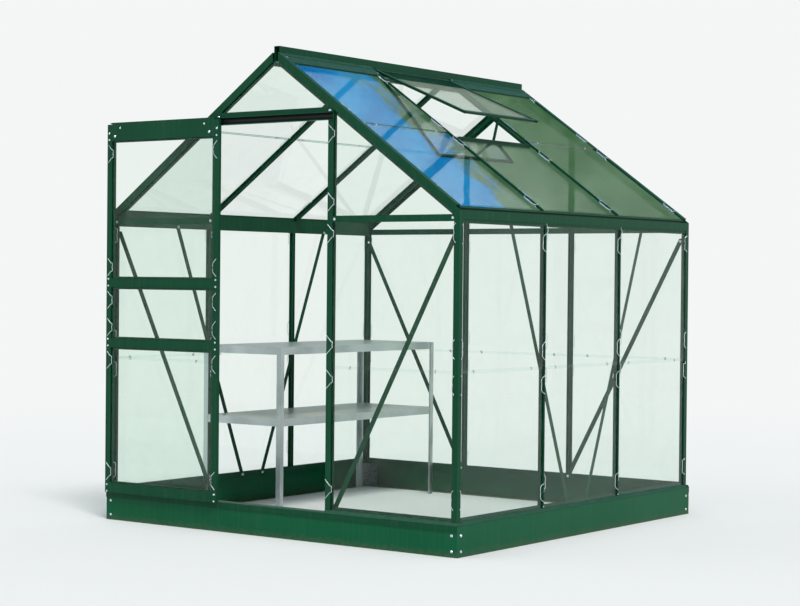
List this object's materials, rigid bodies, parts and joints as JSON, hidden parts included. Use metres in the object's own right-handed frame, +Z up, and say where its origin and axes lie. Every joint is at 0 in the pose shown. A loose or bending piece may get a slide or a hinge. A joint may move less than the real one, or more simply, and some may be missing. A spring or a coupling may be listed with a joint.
{
  "type": "glass greenhouse",
  "caption": "Small apex-roofed glass greenhouse with a green metal frame, a sliding gable door, a propped roof vent, side gutters and staging inside.",
  "frame": {"origin": "middle of the base at ground level, half way between its outer faces", "axes": "+X along the door gable to the right seen from outside it, +Y from the door gable to the rear gable, +Z up"},
  "size_m": [1.93, 1.9623, 2.081],
  "materials": {
    "green_frame": "green powder coat",
    "green_base": "green coated steel",
    "zinc_steel": "galvanised",
    "glass": "clear horticultural glass",
    "bare_aluminium": "mill finish",
    "nylon": "moulded"
  },
  "bodies": {
    "house": {"base_front": "green_base", "base_rear": "green_base", "base_left": "green_base", "base_right": "green_base", "base_corner_brackets": "zinc_steel", "front_cill": "green_frame", "rear_cill": "green_frame", "left_cill": "green_frame", "right_cill": "green_frame", "door_threshold": "green_frame", "front_corner_posts": "green_frame", "rear_corner_posts": "green_frame", "left_wall_bars": "green_frame", "right_wall_bars": "green_frame", "door_posts": "green_frame", "rear_gable_bars": "green_frame", "gable_crossbars": "green_frame", "left_gutter": "green_frame", "right_gutter": "green_frame", "front_rafters": "green_frame", "rear_rafters": "green_frame", "left_roof_bars": "green_frame", "right_roof_bars": "green_frame", "ridge": "green_frame", "door_track": "green_frame", "track_stay": "green_frame", "vent_frame": "green_frame", "vent_glass": "glass", "vent_trimmer": "green_frame", "vent_stay": "green_frame", "wall_braces": "green_frame", "gable_braces": "green_frame", "left_wall_glass": "glass", "right_wall_glass": "glass", "front_gable_glass": "glass", "rear_gable_glass": "glass", "left_roof_glass": "glass", "right_roof_glass": "glass", "staging_legs": "bare_aluminium", "upper_shelf": "bare_aluminium", "lower_shelf": "bare_aluminium"},
    "door": {"door_stiles": "green_frame", "door_rails": "green_frame", "door_glass": "glass", "door_wheels": "nylon"}
  },
  "joints": [
    {"name": "door_slide", "type": "slide", "parent": "house", "child": "door", "axis": [1, 0, 0], "range_m": [0, 0.597]}
  ]
}
